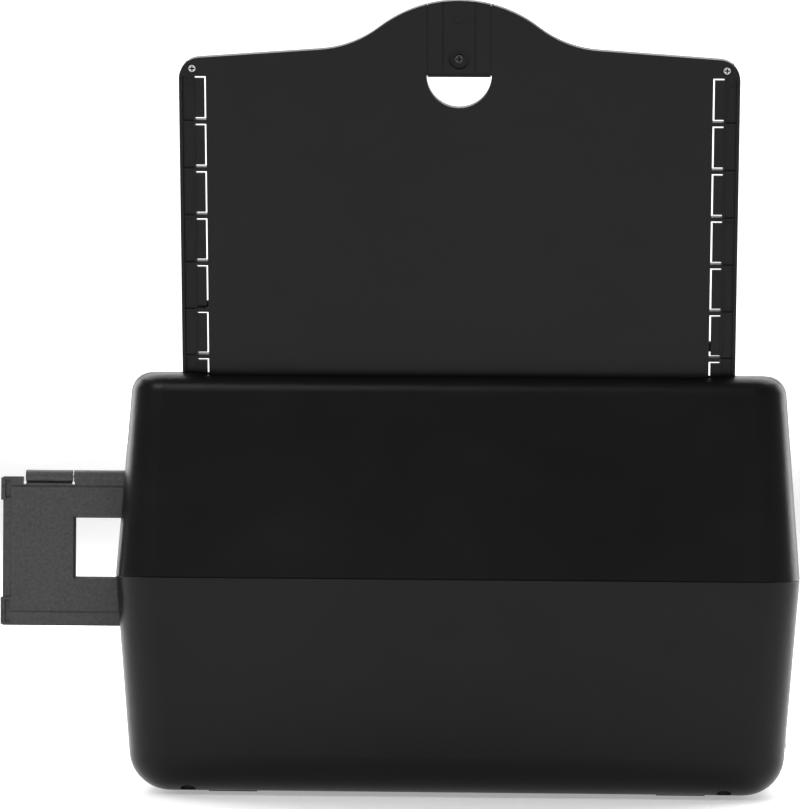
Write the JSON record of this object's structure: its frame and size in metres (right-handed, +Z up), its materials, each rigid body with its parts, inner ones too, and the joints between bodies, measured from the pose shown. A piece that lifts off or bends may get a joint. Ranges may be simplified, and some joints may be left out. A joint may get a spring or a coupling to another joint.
{
  "type": "sheet fed document scanner",
  "caption": "Compact sheet-fed scanner with a two-shell case, leaning paper support with a sliding extension, opening front cover, roller drive and a sideways hinged film holder.",
  "frame": {"origin": "middle of the whole object's footprint, on the desk", "axes": "+Z up, -Y towards the front where sheets come out, +X towards the side the film holder sticks out of"},
  "size_m": [0.3238, 0.183, 0.3187],
  "materials": {
    "case_plastic": "fine satin mould texture",
    "panel_plastic": "smooth satin",
    "film_plastic": "leather grain",
    "inner_plastic": "plain moulded",
    "white_plastic": "diffusing",
    "gear_plastic": "natural acetal",
    "rubber": "moulded",
    "grey_rubber": "ground",
    "steel": "turned",
    "bright_screw": "bright plated",
    "dark_screw": "black oxide",
    "glass": "clear",
    "board": "solder mask",
    "motor": "drawn can",
    "jack": "gloss",
    "button": "gloss",
    "bush": "sintered bronze",
    "light": "translucent"
  },
  "bodies": {
    "case": {"lower_case": "case_plastic", "upper_case": "case_plastic", "rubber_feet": "rubber", "case_screws": "steel", "side_plate_left": "inner_plastic", "side_plate_right": "inner_plastic", "cover_hinge_pins": "steel", "shaft_bushes": "bush", "rear_chute": "inner_plastic", "rear_sensor_bar": "inner_plastic", "rear_sensor_glass": "glass", "drive_motor": "motor", "film_guide": "inner_plastic", "film_backlight": "inner_plastic", "film_diffuser": "white_plastic", "film_lens_barrel": "inner_plastic", "film_lens": "glass", "film_camera_board": "board", "main_board": "board", "board_screws": "steel", "power_jack": "jack", "data_port": "jack"},
    "sensor_flag": {"sensor_flag": "inner_plastic"},
    "feed_roller": {"feed_shaft": "steel", "feed_tyres": "grey_rubber", "feed_gear": "gear_plastic"},
    "exit_roller": {"exit_shaft": "steel", "exit_tyres": "grey_rubber", "exit_gear": "gear_plastic"},
    "idler": {"idler_gear": "gear_plastic"},
    "motor_rotor": {"motor_pinion": "gear_plastic"},
    "film_holder": {"film_base": "film_plastic", "film_lid": "film_plastic", "film_hinge_pin": "steel"},
    "cover": {"front_cover": "case_plastic", "inner_guide": "inner_plastic", "front_sensor_bar": "inner_plastic", "front_sensor_glass": "glass", "pressure_shaft": "steel", "pad_spring": "steel", "light_pipe": "light", "button_board": "board"},
    "pressure_rollers": {"pressure_rollers": "grey_rubber"},
    "separation_pad": {"separation_pad": "rubber", "pad_holder": "inner_plastic"},
    "scan_button": {"scan_button": "button"},
    "power_button": {"power_button": "button"},
    "release_button": {"release_button": "inner_plastic"},
    "paper_support": {"paper_panel": "panel_plastic", "comb_rail_left": "panel_plastic", "comb_rail_right": "panel_plastic", "panel_screws": "bright_screw", "guide_cover": "panel_plastic"},
    "extension": {"extension_slide": "panel_plastic", "extension_screw": "dark_screw"},
    "edge_guide_left": {"edge_guide_left": "panel_plastic"},
    "edge_guide_right": {"edge_guide_right": "panel_plastic"},
    "guide_pinion": {"guide_pinion": "gear_plastic"},
    "output_tray": {"output_tray": "case_plastic"},
    "stop_flap": {"stop_flap": "panel_plastic"}
  },
  "joints": [
    {"name": "cover_open", "type": "hinge", "parent": "case", "child": "cover", "pos_m": [-0.02409, -0.08049, 0.0507], "axis": [1, 0, 0], "range_deg": [0, 60]},
    {"name": "feed_spin", "type": "hinge", "parent": "case", "child": "feed_roller", "pos_m": [-0.02409, 0.00123, 0.08929], "axis": [1, 0, 0], "continuous": true},
    {"name": "exit_spin", "type": "hinge", "parent": "case", "child": "exit_roller", "pos_m": [-0.02409, -0.04685, 0.04403], "axis": [1, 0, 0], "continuous": true},
    {"name": "idler_spin", "type": "hinge", "parent": "case", "child": "idler", "pos_m": [-0.02409, -0.02003, 0.06148], "axis": [1, 0, 0], "continuous": true},
    {"name": "motor_spin", "type": "hinge", "parent": "case", "child": "motor_rotor", "pos_m": [-0.02409, -0.00164, 0.0431], "axis": [1, 0, 0], "continuous": true},
    {"name": "pressure_spin", "type": "hinge", "parent": "cover", "child": "pressure_rollers", "pos_m": [-0.02409, -0.05703, 0.05421], "axis": [1, 0, 0], "continuous": true},
    {"name": "pad_press", "type": "slide", "parent": "cover", "child": "separation_pad", "axis": [0, -0.7071, 0.7071], "range_m": [0, 0.001], "stiffness_N_per_m": 400, "deforming": ["pad_spring"]},
    {"name": "scan_press", "type": "slide", "parent": "cover", "child": "scan_button", "axis": [0, 0.5736, -0.8192], "range_m": [0, 0.0015], "stiffness_N_per_m": 300},
    {"name": "power_press", "type": "slide", "parent": "cover", "child": "power_button", "axis": [0, 0.5736, -0.8192], "range_m": [0, 0.0015], "stiffness_N_per_m": 300},
    {"name": "release_press", "type": "slide", "parent": "cover", "child": "release_button", "axis": [0, 0, -1], "range_m": [0, 0.0025], "stiffness_N_per_m": 400},
    {"name": "support_lift", "type": "slide", "parent": "case", "child": "paper_support", "axis": [0, 0.2419, 0.9703], "range_m": [0, 0.022]},
    {"name": "extension_pull", "type": "slide", "parent": "paper_support", "child": "extension", "axis": [0, 0.2419, 0.9703], "range_m": [0, 0.02]},
    {"name": "guide_left_slide", "type": "slide", "parent": "paper_support", "child": "edge_guide_left", "axis": [-1, 0, 0], "range_m": [0, 0.055]},
    {"name": "guide_right_slide", "type": "slide", "parent": "paper_support", "child": "edge_guide_right", "axis": [1, 0, 0], "range_m": [0, 0.055]},
    {"name": "pinion_spin", "type": "hinge", "parent": "paper_support", "child": "guide_pinion", "pos_m": [-0.02409, 0.05459, 0.19012], "axis": [0, -0.9703, 0.2419], "range_deg": [0, 656.52]},
    {"name": "tray_slide", "type": "slide", "parent": "case", "child": "output_tray", "axis": [0, -1, 0], "range_m": [0, 0.08]},
    {"name": "flap_tilt", "type": "hinge", "parent": "output_tray", "child": "stop_flap", "pos_m": [-0.02409, -0.0793, 0.0132], "axis": [1, 0, 0], "range_deg": [0, 90]},
    {"name": "flag_tilt", "type": "hinge", "parent": "case", "child": "sensor_flag", "pos_m": [-0.02409, 0.01184, 0.10414], "axis": [1, 0, 0], "range_deg": [0, 35], "stiffness_Nm_per_rad": 0.0005},
    {"name": "film_slide", "type": "slide", "parent": "case", "child": "film_holder", "axis": [1, 0, 0], "range_m": [-0.136, 0.054]}
  ],
  "couplings": [
    {"joint": "exit_spin", "follows": "feed_spin", "ratio": 1.25},
    {"joint": "idler_spin", "follows": "feed_spin", "ratio": -0.75},
    {"joint": "motor_spin", "follows": "feed_spin", "ratio": 2.5},
    {"joint": "guide_right_slide", "follows": "guide_left_slide", "ratio": 1},
    {"joint": "pinion_spin", "follows": "guide_left_slide", "rad_per_m": 208.33}
  ]
}
